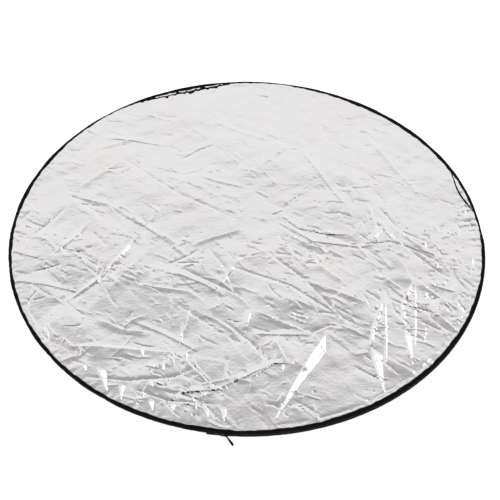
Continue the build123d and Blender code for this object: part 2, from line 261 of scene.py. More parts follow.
def along_path(points, path):
    """For each point: signed distance from a path, share of its length, and the nearest point on it."""
    lengths = np.linalg.norm(np.diff(path, axis=0), axis=1)
    starts = np.concatenate([[0], np.cumsum(lengths)])
    nearest = np.full(len(points), np.inf)
    signed, share, foot = np.zeros(len(points)), np.zeros(len(points)), np.zeros((len(points), 2))
    for a, b, length, start in zip(path[:-1], path[1:], lengths, starts):
        step = b - a
        offset = points - a
        t = np.clip(offset @ step / length**2, 0, 1)
        place = a + t[:, None] * step
        gap = np.linalg.norm(points - place, axis=1)
        side = np.where(step[0] * offset[:, 1] - step[1] * offset[:, 0] >= 0, 1.0, -1.0)
        nearer = gap < nearest
        nearest = np.where(nearer, gap, nearest)
        signed = np.where(nearer, gap * side, signed)
        share = np.where(nearer, (start + t * length) / starts[-1], share)
        foot = np.where(nearer[:, None], place, foot)
    return signed, share, foot


class Crease:
    """A fold in the film: a ridge or valley line with a slope on each side of it.

    left and right are the widths of the two slopes, seen along the path. A lens is widest near its start.
    """

    def __init__(self, path, height, left, right, lens=False):
        self.path = np.asarray(path, float)
        self.height = height
        self.left = left
        self.right = right
        self.lens = lens

    def near(self, points):
        """Which points the crease may reach."""
        reach = max(self.left, self.right)
        low = self.path.min(axis=0) - reach
        high = self.path.max(axis=0) + reach
        return np.flatnonzero(np.all((points > low) & (points < high), axis=1))

    def snap(self, points, free, spacing):
        """Moves the free points nearest to the line onto it, so that the fold is crisp."""
        chosen = self.near(points)
        signed, share, foot = along_path(points[chosen], self.path)
        on = (np.abs(signed) < 0.44 * spacing[chosen]) & (share > 0) & (share < 1) & free[chosen]
        points[chosen[on]] = foot[on]
        free[chosen[on]] = False

    def lift(self, points, heights):
        """Adds the crease to the heights."""
        chosen = self.near(points)
        signed, share, _ = along_path(points[chosen], self.path)
        if self.lens:
            swell = np.clip(np.minimum(share / 0.2, (1 - share) / 0.8), 1e-6, 1)
        else:
            swell = np.clip(np.minimum(share, 1 - share) / 0.2, 0, 1)
        width = np.where(signed >= 0, self.left, self.right) * (swell if self.lens else 1.0)
        slope = np.clip(1 - np.abs(signed) / np.maximum(width, 1e-6), 0, 1)
        heights[chosen] += self.height * swell * slope


def undulation(points, rng, count, low, high, amplitude):
    """A sum of long sine waves with random directions."""
    total = np.zeros(len(points))
    for _ in range(count):
        angle, length, phase = rng.uniform(0, np.pi), rng.uniform(low, high), rng.uniform(0, 2 * np.pi)
        along = points @ np.array([math.cos(angle), math.sin(angle)])
        total += np.sin(2 * np.pi * along / length + phase) * length / high
    return total * amplitude / math.sqrt(count)


def scattered_creases(
    rng, count, spread, length, height, narrow, wide, one_sided=0.55, grain=-38, patch=None
):
    """Creases scattered over the disc, or over a patch, most of them lying along the grain.

    Ranges are in millimetres. A patch is (x, y, half width, half depth) in metres. The sheet is
    smoother at its back.
    """
    x, y, half_x, half_y = patch or (0, 0, 0.535, 0.535)
    made = []
    for _ in range(count):
        turn = rng.uniform(0, 2 * np.pi)
        out = math.sqrt(rng.uniform(0, 1))
        middle = np.array([x + half_x * out * math.cos(turn), y + half_y * out * math.sin(turn)])
        angle = math.radians(grain + rng.normal(0, spread)) if rng.random() < 0.75 else rng.uniform(0, np.pi)
        half = math.exp(rng.uniform(math.log(length[0]), math.log(length[1]))) / 2 * MM
        step = half * np.array([math.cos(angle), math.sin(angle)])
        bend = rng.normal(0, 0.12) * np.array([-step[1], step[0]])
        calm = np.interp(middle[1], [-0.2, 0.05, 0.25], [1.15, 1.0, 0.45])
        if any(((middle[0] - a) / c) ** 2 + ((middle[1] - b) / d) ** 2 < 1 for a, b, c, d in SMOOTH):
            calm *= 0.3
        size = calm * rng.uniform(*height) * rng.choice([-1, 1]) * MM
        thin = rng.uniform(*narrow) * MM
        broad = rng.uniform(*wide) * MM if rng.random() < one_sided else thin
        left, right = (thin, broad) if rng.random() < 0.5 else (broad, thin)
        made.append(Crease([middle - step, middle + bend, middle + step], size, left, right))
    return made


# The folds that stand out in the silver sheet, in millimetres: path, height, the widths of the left and
# right slopes, and whether it is a lens
FOLDS = [
    # long white sliver at the right front
    ([(176, -284), (110, -410), (58, -524)], 6.0, 23, 5, True),
    # two leaf-shaped folds beside it: the lower facet, then the left and right edges of the upper pocket
    ([(270, -325), (292, -448)], 5.2, 20, 5, True),
    ([(309, -180), (276, -275), (270, -330)], 1.7, 6, 4),
    ([(309, -180), (302, -325), (296, -410)], 1.1, 4, 5),
    ([(346, -272), (357, -382)], 3.7, 14, 5, True),
    ([(379, -131), (345, -205), (345, -275)], 1.7, 6, 4),
    ([(379, -131), (369, -270), (361, -340)], 1.1, 4, 5),
    # wedge at the left front
    ([(-385, -328), (-250, -335), (-110, -348)], 2.4, 12, 38, True),
    # long ridge at the left, and the hollow beside it
    ([(-250, 5), (-285, -60), (-335, -140), (-400, -205)], 1.8, 6, 6),
    ([(-400, -40), (-355, -85), (-330, -102)], -1.2, 12, 8),
    # small bright facets near the left front rim, in the wedge and at the left rim
    ([(-315, -385), (-301, -415), (-286, -455)], 5.6, 15, 4, True),
    ([(-262, -426), (-257, -472)], 4.4, 11, 4, True),
    ([(-196, -415), (-213, -450), (-230, -487)], 5.2, 13, 4, True),
    ([(-198, -468), (-190, -498)], 3.2, 8, 4, True),
    ([(-152, -474), (-147, -508)], 3.2, 8, 4, True),
    ([(-86, -476), (-74, -514)], 3.2, 8, 4, True),
    ([(-47, -484), (-42, -526)], 3.6, 9, 4, True),
    ([(-444, -266), (-420, -318)], 3.2, 8, 4, True),
    ([(-345, -380), (-336, -398)], 2.6, 7, 4, True),
    ([(-227, -322), (-218, -361)], 3.2, 8, 4, True),
    ([(-520, 28), (-498, 18)], 1.4, 5, 4, True),
    ([(-462, -84), (-438, -100)], 1.6, 6, 4, True),
    # short dark lines between them
    ([(-215, -378), (-185, -386)], 1.5, 6, 3),
    ([(-195, -422), (-170, -431)], 1.5, 6, 3),
]
MAIN_FOLDS = [
    Crease(np.array(path) / 1000, height * MM, left * MM, right * MM, *lens)
    for path, height, left, right, *lens in FOLDS
]
# Places where the sheet lies smooth between its creases: middle x and y, half width and half depth
SMOOTH = [
    (0.200, -0.390, 0.06, 0.09), (0.230, -0.110, 0.06, 0.05), (-0.060, -0.350, 0.05, 0.05),
    (0.0, -0.47, 0.05, 0.03),
]


def near_main_folds(places):
    """Which places lie on the slopes of a main fold, or just beside them."""
    close = np.zeros(len(places), bool)
    for fold in MAIN_FOLDS:
        chosen = fold.near(places)
        signed, _, _ = along_path(places[chosen], fold.path)
        close[chosen] |= np.abs(signed) < min(max(fold.left, fold.right), 25 * MM) + 1.5 * MM
    return close


def marked_creases():
    """The sheet's long creases that can be told apart, each with a thin slope and a broad one.

    Their paths are in centimetres.
    """
    back = [
        [(-31, 26), (-24, 20), (-17, 14), (-8, 9), (0, 4)], [(-37, 29), (-30, 32), (-24, 34)],
        [(-37, 33), (-28, 32), (-19, 30)], [(-17, 25), (-12, 29), (-8, 31)], [(-12, 20), (-7, 18), (0, 16)],
        [(-41, 15), (-36, 20), (-30, 26)], [(17, 43), (20, 33), (27, 28)], [(29, 36), (36, 23), (42, 13)],
        [(12, 31), (19, 18), (24, 9)],
    ]
    left = [
        [(-43, 13), (-37, 10), (-34, 4)], [(-40, 12), (-33, 10), (-26, 5), (-20, 1)],
        [(-30, 7), (-24, 3), (-18, -2), (-14, -7)], [(-50, -1), (-46, 4), (-43, 9)],
        [(-44, -6), (-39, 0), (-37, 4)], [(-40, -5), (-34, -9)], [(-36, 1), (-32, -4)],
        [(-27, -14), (-20, -16), (-13, -17), (-9, -20)], [(-17, -11), (-16, -16)],
        [(-18, -9), (-13, -6), (-11, -4)],
    ]
    middle = [
        [(-15, -10), (-8, -14), (0, -19)], [(-13, -3), (-9, -1), (0, 3)],
        [(-17, -11), (-9, -15), (-4, -19)], [(-4, -9), (3, -12), (10, -15), (21, -24)],
        [(7, 5), (15, -1), (19, -6)], [(8, 3), (12, -1), (18, -4)],
        [(4, -4), (8, -8), (13, -13), (21, -24), (27, -28)], [(13, -13), (19, -16), (27, -20)],
        [(13, -1), (20, -2), (26, -3), (30, -2)], [(19, -26), (15, -28), (14, -30)],
        [(1, -29), (7, -29), (15, -29)], [(1, -22), (5, -24), (15, -29)], [(1, -31), (5, -37)],
        [(6, -30), (9, -37)], [(19, -19), (21, -26)],
    ]
    right = [
        [(32, 3), (36, -2), (42, -9), (46, -13)], [(34, 5), (38, -1), (44, -6)],
        [(30, 6), (34, -1), (40, -4)], [(31, 10), (36, 2), (41, -1)], [(30, -5), (33, -10)],
        [(38, -13), (44, -19), (47, -20)], [(38, -25), (43, -28)], [(31, -12), (35, -16)],
        [(28, -2), (32, 3)], [(31, -15), (33, -22), (37, -28)], [(7, 8), (12, 3), (19, 1), (24, 1)],
        [(16, -8), (22, -14)],
    ]
    front = [
        [(-35, -41), (-24, -42), (-15, -41), (-10, -38)], [(-15, -32), (-13, -27), (-12, -22)],
        [(-20, -43), (-14, -45), (-6, -44), (6, -37)], [(-5, -25), (1, -31), (6, -37)],
        [(0, -28), (1, -22)], [(-14, -35), (-8, -42), (-5, -45)], [(-24, -44), (-16, -47), (-5, -48)],
        [(-10, -43), (-3, -41), (2, -42)], [(1, -41), (6, -37), (10, -37)],
        [(-17, -44), (-9, -47), (-5, -52)], [(-26, -25), (-18, -29), (-10, -34)],
        [(-33, -25), (-27, -28), (-20, -29)],
    ]
    made = []
    for paths, height in ((back, 0.7), (left, 1.1), (middle, 1.3), (right, 1.2), (front, 1.4)):
        for index, path in enumerate(paths):
            facing = 1 if index % 3 else -1
            thin, broad = 3.2 * MM, (8 + 3 * (index % 3)) * MM
            slopes = (thin, broad) if index % 2 else (broad, thin)
            made.append(Crease(np.array(path) / 100, facing * height * MM, *slopes))
    return made


# Patches where the silver sheet is finely crinkled: creases, middle x and y, half width and half depth
CRINKLED = [
    (20, 0.290, -0.265, 0.012, 0.060), (18, 0.360, -0.210, 0.010, 0.055), (45, 0.435, -0.045, 0.050, 0.080),
    (34, 0.440, -0.190, 0.05, 0.06), (26, -0.120, -0.450, 0.07, 0.05), (26, -0.300, -0.120, 0.09, 0.05),
    (26, 0.130, -0.050, 0.06, 0.04), (26, -0.150, -0.390, 0.06, 0.05),
]


def crumple(points, spacing, rng, folds, still):
    """Crumple heights of a film. The points shift slightly onto the creases, but not where still is true."""
    creases = (
        folds
        + scattered_creases(rng, 70, 18, (60, 200), (0.5, 1.2), (2.8, 3.4), (9, 28), one_sided=0.9)
        + scattered_creases(rng, 560, 22, (18, 80), (0.35, 1.0), (2.6, 3.2), (4, 12), one_sided=0.5)
        + scattered_creases(rng, 900, 40, (6, 16), (0.25, 0.7), (2.6, 3.2), (3, 6), one_sided=0.4)
        + scattered_creases(rng, 60, 30, (120, 360), (0.5, 1.3), (25, 60), (30, 90))
    )
    for count, *patch in CRINKLED:
        creases += scattered_creases(rng, count, 50, (8, 30), (0.4, 0.9), (2.8, 3.6), (4, 9), patch=patch)
    free = ~still
    for crease in creases:
        crease.snap(points, free, spacing)
    heights = np.zeros(len(points))
    for crease in creases:
        crease.lift(points, heights)
    heights += undulation(points, rng, 9, 0.10, 0.40, 1.1 * MM)
    heights += undulation(points, rng, 14, 0.025, 0.07, 0.25 * MM)
    return heights + rng.normal(0, 0.02 * MM, len(points))


def envelope(points, heights, cell, lowest):
    """A function that gives the lowest (or highest) film height near each of the points it is given."""
    half = int(math.ceil(0.56 / cell))
    pick, far = (np.minimum, 9.0) if lowest else (np.maximum, -9.0)
    grid = np.full((2 * half + 3, 2 * half + 3), far)
    column = np.rint(points / cell).astype(int) + half + 1
    pick.at(grid, (column[:, 0], column[:, 1]), heights)
    spread = grid.copy()
    for shift in [(a, b) for a in (-1, 0, 1) for b in (-1, 0, 1)]:
        spread = pick(spread, np.roll(grid, shift, axis=(0, 1)))

    def look_up(places):
        at = np.rint(places / cell).astype(int) + half + 1
        return spread[at[:, 0], at[:, 1]]

    return look_up


# ---- materials


def new_material(name):
    """A node material: the material, its nodes, its links and its Principled shader."""
    material = bpy.data.materials.new(name)
    material.use_nodes = True
    nodes = material.node_tree.nodes
    return material, nodes, material.node_tree.links, nodes["Principled BSDF"]


def noise(nodes, links, vector, scale, detail=2.0):
    """A noise texture's Fac output over a vector."""
    texture = nodes.new("ShaderNodeTexNoise")
    texture.inputs["Scale"].default_value = scale
    texture.inputs["Detail"].default_value = detail
    links.new(vector, texture.inputs["Vector"])
    return texture.outputs["Fac"]


def two_colours(nodes, links, amount, low, high, start=0.3, end=0.7):
    """Two colours mixed by an amount."""
    ramp = nodes.new("ShaderNodeValToRGB")
    for element, position, colour in zip(ramp.color_ramp.elements, (start, end), (low, high)):
        element.position = position
        element.color = (*colour, 1)
    links.new(amount, ramp.inputs["Fac"])
    return ramp.outputs["Color"]


def bumped(nodes, links, shader, height, strength, distance):
    """Gives the shader a bump."""
    bump = nodes.new("ShaderNodeBump")
    bump.inputs["Strength"].default_value = strength
    bump.inputs["Distance"].default_value = distance
    links.new(height, bump.inputs["Height"])
    links.new(bump.outputs["Normal"], shader.inputs["Normal"])


def rough_between(nodes, links, shader, amount, low, high):
    """Roughness that varies with an amount."""
    spread = nodes.new("ShaderNodeMapRange")
    spread.inputs["To Min"].default_value = low
    spread.inputs["To Max"].default_value = high
    links.new(amount, spread.inputs["Value"])
    links.new(spread.outputs["Result"], shader.inputs["Roughness"])


def film_material(name, near, far, roughness):
    """Metallised film: mirror-like, with fine crinkles and faint changes of tint."""
    material, nodes, links, shader = new_material(name)
    shader.inputs["Metallic"].default_value = 1.0
    place = nodes.new("ShaderNodeTexCoord").outputs["Object"]
    patch = noise(nodes, links, place, 7.0, 3.0)
    links.new(two_colours(nodes, links, patch, near, far, 0.38, 0.66), shader.inputs["Base Color"])
    rough_between(nodes, links, shader, patch, roughness - 0.04, roughness + 0.06)
    turned = nodes.new("ShaderNodeMapping")
    turned.inputs["Rotation"].default_value = (0, 0, math.radians(38))
    turned.inputs["Scale"].default_value = (0.4, 1.0, 1.0)
    links.new(place, turned.inputs["Vector"])
    height = noise(nodes, links, place, 150.0, 5.0)
    for scale, amount in ((22.0, 1.0), (48.0, 0.8), (95.0, 0.5)):
        fold = nodes.new("ShaderNodeMath")
        fold.operation = "SUBTRACT"
        fold.inputs[1].default_value = 0.5
        links.new(noise(nodes, links, turned.outputs["Vector"], scale, 1.0), fold.inputs[0])
        ridge = nodes.new("ShaderNodeMath")
        ridge.operation = "ABSOLUTE"
        links.new(fold.outputs["Value"], ridge.inputs[0])
        add = nodes.new("ShaderNodeMath")
        add.operation = "MULTIPLY_ADD"
        add.inputs[1].default_value = amount
        links.new(ridge.outputs["Value"], add.inputs[0])
        links.new(height, add.inputs[2])
        height = add.outputs["Value"]
    bumped(nodes, links, shader, height, 0.35, 1.0 * MM)
    return material


def cloth_material(name, dark, light, thread, roughness, sheen=0.0, laid=False):
    """Woven cloth whose threads are that many metres apart. Laid cloth follows the strip it is cut in."""
    material, nodes, links, shader = new_material(name)
    shader.inputs["Sheen Weight"].default_value = sheen
    shader.inputs["Sheen Roughness"].default_value = 0.45
    shader.inputs["Specular IOR Level"].default_value = 0.1
    coordinates = nodes.new("ShaderNodeTexCoord")
    place = coordinates.outputs["UV" if laid else "Object"]
    threads = []
    for direction in "XY":
        wave = nodes.new("ShaderNodeTexWave")
        wave.bands_direction = direction
        wave.inputs["Scale"].default_value = 2 * math.pi / 20 / thread
        wave.inputs["Distortion"].default_value = 0.5
        links.new(place, wave.inputs["Vector"])
        threads.append(wave.outputs["Fac"])
    weave = nodes.new("ShaderNodeMath")
    weave.operation = "MULTIPLY"
    links.new(threads[0], weave.inputs[0])
    links.new(threads[1], weave.inputs[1])
    worn = noise(nodes, links, coordinates.outputs["Object"], 24.0, 4.0)
    both = nodes.new("ShaderNodeMath")
    both.operation = "MULTIPLY_ADD"
    both.inputs[1].default_value = 0.5
    links.new(weave.outputs["Value"], both.inputs[0])
    links.new(worn, both.inputs[2])
    tint = two_colours(nodes, links, both.outputs["Value"], dark, light, 0.3, 1.0)
    links.new(tint, shader.inputs["Base Color"])
    rough_between(nodes, links, shader, worn, roughness - 0.08, roughness + 0.08)
    bumped(nodes, links, shader, weave.outputs["Value"], 0.4, thread / 4)
    return material


def diffuser_material(name):
    """Thin white diffusing cloth that lets some light through."""
    material = cloth_material(name, (0.78, 0.78, 0.77), (0.9, 0.9, 0.9), 0.9 * MM, 0.6)
    shader = material.node_tree.nodes["Principled BSDF"]
    shader.inputs["Subsurface Weight"].default_value = 0.35
    shader.inputs["Subsurface Scale"].default_value = 2 * MM
    return material


def thread_material(name, colour):
    """Twisted sewing thread."""
    material, nodes, links, shader = new_material(name)
    place = nodes.new("ShaderNodeTexCoord").outputs["Object"]
    ply = noise(nodes, links, place, 1800.0)
    lighter = tuple(min(1.0, part * 1.9 + 0.01) for part in colour)
    links.new(two_colours(nodes, links, ply, colour, lighter), shader.inputs["Base Color"])
    rough_between(nodes, links, shader, ply, 0.4, 0.65)
    bumped(nodes, links, shader, ply, 0.5, 0.08 * MM)
    return material


def metal_material(name, dark, light, roughness, grain, stretch=(1, 1, 1), metallic=1.0, shine=0.5):
    """Metal, bare or painted, with a fine grain, small marks and patches of wear."""
    material, nodes, links, shader = new_material(name)
    shader.inputs["Specular IOR Level"].default_value = shine
    shader.inputs["Metallic"].default_value = metallic
    mapping = nodes.new("ShaderNodeMapping")
    mapping.inputs["Scale"].default_value = stretch
    links.new(nodes.new("ShaderNodeTexCoord").outputs["Object"], mapping.inputs["Vector"])
    place = mapping.outputs["Vector"]
    marks = noise(nodes, links, place, grain, 6.0)
    patches = noise(nodes, links, place, grain / 12, 3.0)
    links.new(two_colours(nodes, links, patches, dark, light), shader.inputs["Base Color"])
    rough_between(nodes, links, shader, marks, roughness - 0.1, roughness + 0.15)
    bumped(nodes, links, shader, marks, 0.15, 0.05 * MM)
    return material


silver = film_material("silver_film", (0.915, 0.915, 0.92), (0.935, 0.910, 0.905), 0.15)
gold = film_material("gold_film", (0.80, 0.55, 0.20), (0.90, 0.66, 0.28), 0.24)
white_cloth = cloth_material("white_lining", (0.80, 0.80, 0.79), (0.90, 0.90, 0.89), 0.8 * MM, 0.8, 0.05)
black_cloth = cloth_material(
    "black_lining", (0.010, 0.010, 0.011), (0.035, 0.035, 0.037), 0.8 * MM, 0.8, 0.1
)
diffuser_cloth = diffuser_material("diffuser_cloth")
binding_cloth = cloth_material(
    "edge_binding", (0.0015, 0.0015, 0.0016), (0.007, 0.007, 0.0075), 0.9 * MM, 0.85, laid=True
)
tape_cloth = cloth_material(
    "zip_tape", (0.003, 0.003, 0.0032), (0.011, 0.011, 0.012), 0.7 * MM, 0.8, laid=True
)
hoop_cloth = cloth_material(
    "hoop_binding", (0.006, 0.006, 0.007), (0.026, 0.026, 0.028), 0.9 * MM, 0.78, 0.12, True
)
black_thread = thread_material("thread", (0.010, 0.010, 0.011))
coil_nylon = metal_material(
    "zip_coil", (0.006, 0.006, 0.007), (0.016, 0.016, 0.017), 0.4, 900, metallic=0.0, shine=0.25
)
zip_metal = metal_material(
    "zip_metal", (0.004, 0.004, 0.0045), (0.013, 0.013, 0.014), 0.42, 700, metallic=0.3, shine=0.2
)
rubber = metal_material(
    "grip_rubber", (0.002, 0.002, 0.002), (0.007, 0.007, 0.007), 0.7, 500, metallic=0.0, shine=0.12
)
spring_steel = metal_material("spring_steel", (0.20, 0.21, 0.24), (0.34, 0.35, 0.37), 0.32, 500, (1, 1, 6))


# ---- silver front sheet and its lining

FILM_RINGS, LINING_RINGS = 162, 92
BACK_RINGS, BACK_LINING_RINGS, DIFFUSER_RINGS = 124, 74, 96
MIDDLE_SAG = 2.6 * MM
# Radii at which the sheets change: the hollow along the zip, the deepest puckers, where the silver film
# starts to be drawn in and to climb over the hoop, and where the back film and the diffuser lie free
GULLY_RADIUS, PUCKER_RADIUS = 0.534, 0.541
DRAWN_RADIUS, CLIMB_RADIUS = 0.520, 0.522
BACK_FREE_RADIUS, DIFFUSER_FREE_RADIUS, TUNNEL_RADIUS = 0.524, 0.526, 0.524


# How wide the binding's top face shows, round the edge: angle and width in millimetres
TOP_WIDTH = [
    (-98, 8.0), (-92, 6.5), (-60, 8.5), (-30, 8.5), (-8, 8.0), (3, 8.0), (12, 8.5), (20, 9.5),
    (30, 10.5), (45, 12.0), (60, 12.0), (72, 8.5), (80, 5.5), (90, 5.5), (98, 8.0), (108, 12.0),
    (118, 10.0), (125, 6.0), (132, 5.5), (140, 7.5), (150, 10.0), (165, 10.0), (180, 9.0), (200, 8.0),
    (225, 7.5), (240, 7.5), (262, 8.0),
]
EDGE_WAVES = [(61, 0.45 * MM, 1.0), (97, 0.35 * MM, 2.6), (173, 0.25 * MM, 0.1), (23, 0.5 * MM, 3.3)]


def top_width(angle):
    """How far the binding's top face reaches in from the rim at an angle."""
    table = np.array(TOP_WIDTH)
    return np.interp(angle, table[:, 0], table[:, 1]) * MM + waves(angle, EDGE_WAVES)


def held_at_edge(radius, edge, fade):
    """How free a sheet is to crumple, from 0 at its edge to 1 further in than the fade."""
    return np.clip((edge - radius) / fade, 0, 1) ** 0.7


def notch(angle):
    """How far the edge is drawn in beside the zip's right end, from 0 to 1."""
    return np.interp(angle, [-1, 2, 9, 16], [0, 1, 1, 0])


def zip_side(points):
    """1 along the zip and 0 along the sewn edge, with a soft change between them."""
    angle = np.degrees(np.arctan2(points[:, 1], points[:, 0]))
    return np.clip((angle + 90) / 14, 0, 1) * np.clip((-6 - angle) / 14, 0, 1)


points, faces = refine(*ring_disc(film_radius, FILM_RINGS), near_main_folds)
spacing = film_radius / FILM_RINGS
radius = np.linalg.norm(points, axis=1)
folds = MAIN_FOLDS + marked_creases()
local_spacing = np.where(near_main_folds(points), spacing / 2, spacing)
heights = crumple(points, local_spacing, np.random.default_rng(7), folds, radius > film_radius - 2 * spacing)
radius = np.linalg.norm(points, axis=1)
base = rim_top - 0.95 * MM - MIDDLE_SAG * (1 - (radius / film_radius) ** 2)
turn = np.arctan2(points[:, 1], points[:, 0])
uneven = 0.5 + 0.3 * np.sin(31 * turn + 1.0) + 0.2 * np.sin(83 * turn)
gully = -1.6 * MM * uneven * np.exp(-(((radius - GULLY_RADIUS) / (4 * MM)) ** 2)) * zip_side(points)
drawn = 1 + 3.0 * np.exp(-(((np.degrees(turn) - 6) / 8) ** 2))
puckers = sum(np.sin(number * turn + phase) for number, phase in [(107, 0.0), (151, 1.2), (211, 2.5)]) / 3
puckers *= 0.5 * MM * drawn * np.exp(-(((PUCKER_RADIUS - radius) / (12 * MM * drawn**0.7)) ** 2))
heights = base + gully + puckers + heights * held_at_edge(radius, film_radius, 16 * MM)
degrees = np.degrees(turn)
hem = rim_radius - top_width(np.where(degrees < ZIP_START, degrees + 360, degrees))
under_hem = np.clip((radius - hem + 3 * MM) / (3 * MM), 0, 1)
heights = np.where(under_hem > 0, np.minimum(heights, base + 12 * MM * (1 - under_hem)), heights)
drawn_in = (1.0 + 2.2 * notch(degrees)) * MM
points *= (1 - drawn_in * np.clip((radius - DRAWN_RADIUS) / 0.027, 0, 1) / np.maximum(radius, 0.1))[:, None]
ramp_in = np.clip((radius - CLIMB_RADIUS) / 0.012, 0, 1)
lowest_film = (hoop_level + 3.0 * MM) * (1 - ramp_in) + (hoop_high.z + 0.35 * MM) * ramp_in
heights = np.maximum(heights, np.minimum(lowest_film, base))
front_film = add_mesh("front_film", np.column_stack([points, heights]), faces, silver)
crisp(front_film, 11)
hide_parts("front_foil", "front_foil_flap")

film_floor = envelope(points, heights, 4 * MM, lowest=True)
points, faces = ring_disc(film_radius - 0.5 * MM, LINING_RINGS)
heights = film_floor(points) - 0.30 * MM
front_lining = add_mesh("front_lining_cloth", np.column_stack([points, heights]), faces, white_cloth)
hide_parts("front_lining", "front_lining_flap")

# ---- back sheet and its lining

points, faces = ring_disc(back_radius, BACK_RINGS)
radius = np.linalg.norm(points, axis=1)
spacing = np.full(len(points), back_radius / BACK_RINGS)
rough = crumple(points, spacing, np.random.default_rng(23), [], radius > back_radius - 0.01)
rough -= rough.min()
rough *= 3.2 * MM / rough.max()
radius = np.linalg.norm(points, axis=1)
heights = 0.15 * MM + rough * held_at_edge(radius, BACK_FREE_RADIUS, 30 * MM)
back_film = add_mesh("back_film", np.column_stack([points, heights]), faces[:, ::-1], gold)
crisp(back_film, 9)
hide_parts("back_foil")

film_top = envelope(points, heights, 5 * MM, lowest=False)
points, faces = ring_disc(back_radius - 0.3 * MM, BACK_LINING_RINGS)
heights = film_top(points) + 0.25 * MM
back_lining = add_mesh("back_lining_cloth", np.column_stack([points, heights]), faces, black_cloth)
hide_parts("back_lining")

# ---- inner disc

points, faces = ring_disc(diffuser_radius, DIFFUSER_RINGS)
radius = np.linalg.norm(points, axis=1)
turn = np.arctan2(points[:, 1], points[:, 0])
rng = np.random.default_rng(5)
heights = undulation(points, rng, 12, 0.08, 0.3, 0.8 * MM)
heights += undulation(points, rng, 10, 0.02, 0.05, 0.12 * MM)
for number, phase in [(41, 0.3), (67, 1.1), (97, 2.0)]:
    fading = np.exp(-(TUNNEL_RADIUS - radius) / 0.03) * (radius < TUNNEL_RADIUS)
    heights += 0.35 * MM * np.sin(number * turn + phase) * fading
heights = hoop_level + heights * held_at_edge(radius, DIFFUSER_FREE_RADIUS, 20 * MM)
diffuser = add_mesh("diffuser_cloth_sheet", np.column_stack([points, heights]), faces, diffuser_cloth)
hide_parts("diffuser_sheet")


def hoop_section(angle):
    """The diffuser's binding: a flat flange on the cloth, and a rounded tunnel round the steel band."""
    pucker = waves(angle, [(113, 0.25 * MM, 0.2), (71, 0.2 * MM, 1.9), (29, 0.15 * MM, 4.0)])
    edge = waves(angle, [(47, 0.35 * MM, 0.9), (19, 0.3 * MM, 2.2)])
    flange = hoop_radius - 21 * MM
    outline = [
        (flange + edge, 0.35),
        (flange + 0.8 * MM + edge, 0.75),
        (flange + 4.0 * MM, 0.85),
        (flange + 8.0 * MM, 2.4),
        (flange + 12.0 * MM, 4.4),
        (flange + 15.5 * MM, 5.7),
        (flange + 18.0 * MM, 6.0),
        (flange + 19.8 * MM, 5.4),
        (hoop_radius - 0.3 * MM, 3.4),
        (hoop_radius, 1.2),
    ]
    upper = [(r, hoop_level + z * MM + pucker * min(1.0, z / 4.4)) for r, z in outline]
    lower = [(r, hoop_level - z * MM + pucker * min(1.0, z / 4.4)) for r, z in reversed(outline)]
    return [(r, min(max(z, hoop_low.z), hoop_high.z)) for r, z in upper + lower]


hoop_angles = np.linspace(0, 360, 720, endpoint=False)
hoop_binding = swept_band("hoop_binding", hoop_section, hoop_angles, hoop_cloth, closed=True)
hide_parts("diffuser_binding")

hoop_stitches = stitched_seam(
    "hoop_stitches", lambda angle: hoop_thread_radius, lambda angle: hoop_level + 0.85 * MM, 0, 360, 1,
    black_thread, 6 * MM,
)
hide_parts("diffuser_seam_thread")

# ---- edge binding

PUCKERS = [(149, 0.22 * MM, 0.4), (211, 0.18 * MM, 1.3), (83, 0.25 * MM, 2.9), (37, 0.2 * MM, 5.0)]


def hem_line(angle):
    """The radius of the row of stitches that holds the binding's hem, a little outside its edge."""
    return rim_radius - top_width(angle) + 1.9 * MM


def top_height(angle):
    """The height of the binding's top face, where it is flat."""
    return rim_top - 0.15 * MM + waves(angle, [(137, 0.08 * MM, 0.4), (59, 0.1 * MM, 2.2)])


def hem_start(angle):
    """The start of the binding's path: its hem on the silver sheet, and the flat face beside it."""
    width, top = top_width(angle), top_height(angle)
    return [(-width, top - 0.55 * MM), (-width + 0.9 * MM, top - 0.25 * MM), (-width * 0.55, top - 0.12 * MM)]


def swayed_tape(path, sway, inward, lift, drawn_in=0.0):
    """A tape's outline from its path, which each point leaves by its share of a sway."""
    moved = [
        (rim_radius + r - max(0, inward * k) - drawn_in * min(1, 2 * k), z + lift * k)
        for (r, z), k in zip(path, sway)
    ]
    return thick_path(moved, 0.7 * MM)


def sewn_section(angle):
    """The binding round the sewn edge: a soft tape that rolls over the edge and tucks in underneath."""
    top, pucker = top_height(angle), waves(angle, PUCKERS)
    down = [
        (-2.6, -0.2), (-1.4, -0.75), (-0.7, -1.9), (-0.45, -3.8), (-0.55, -6.0), (-1.1, -8.2),
        (-2.1, -10.2), (-3.2, -12.4),
    ]
    under = [(-4.4, 1.15), (-6.0, 0.65), (-9.0, 0.6)]
    path = hem_start(angle) + [(r * MM, top + z * MM) for r, z in down]
    path += [(r * MM, z * MM) for r, z in under]
    sway = [0, 0, 0.2, 0.5, 0.9, 1, 1, 1, 1, 1, 0.8, 0.4, 0.1, 0]
    drawn_in = 2.0 * MM * float(notch(angle))
    loose = 0.9 * MM * float(np.interp(angle, [0, 20, 240, 262], [0, 1, 1, 0]))
    drawn_in += max(0.0, loose + waves(angle, [(23, loose, 0.6), (41, 0.6 * loose, 2.0)])) / 2
    return swayed_tape(path, sway, pucker, 0.4 * pucker, drawn_in)


def zip_top_section(angle):
    """The upper binding along the zip: flat on the sheet, and turned down over the zip tape."""
    top, pucker = top_height(angle), waves(angle, PUCKERS)
    down = [(-2.4, -0.12), (-1.1, -0.45), (-0.5, -1.2), (-0.4, -2.2), (-0.45, -3.2)]
    path = hem_start(angle) + [(r * MM, top + z * MM) for r, z in down]
    sway = [0, 0, 0.2, 0.4, 0.6, 0.8, 0.9, 1]
    return swayed_tape(path, sway, pucker, 0.5 * pucker)


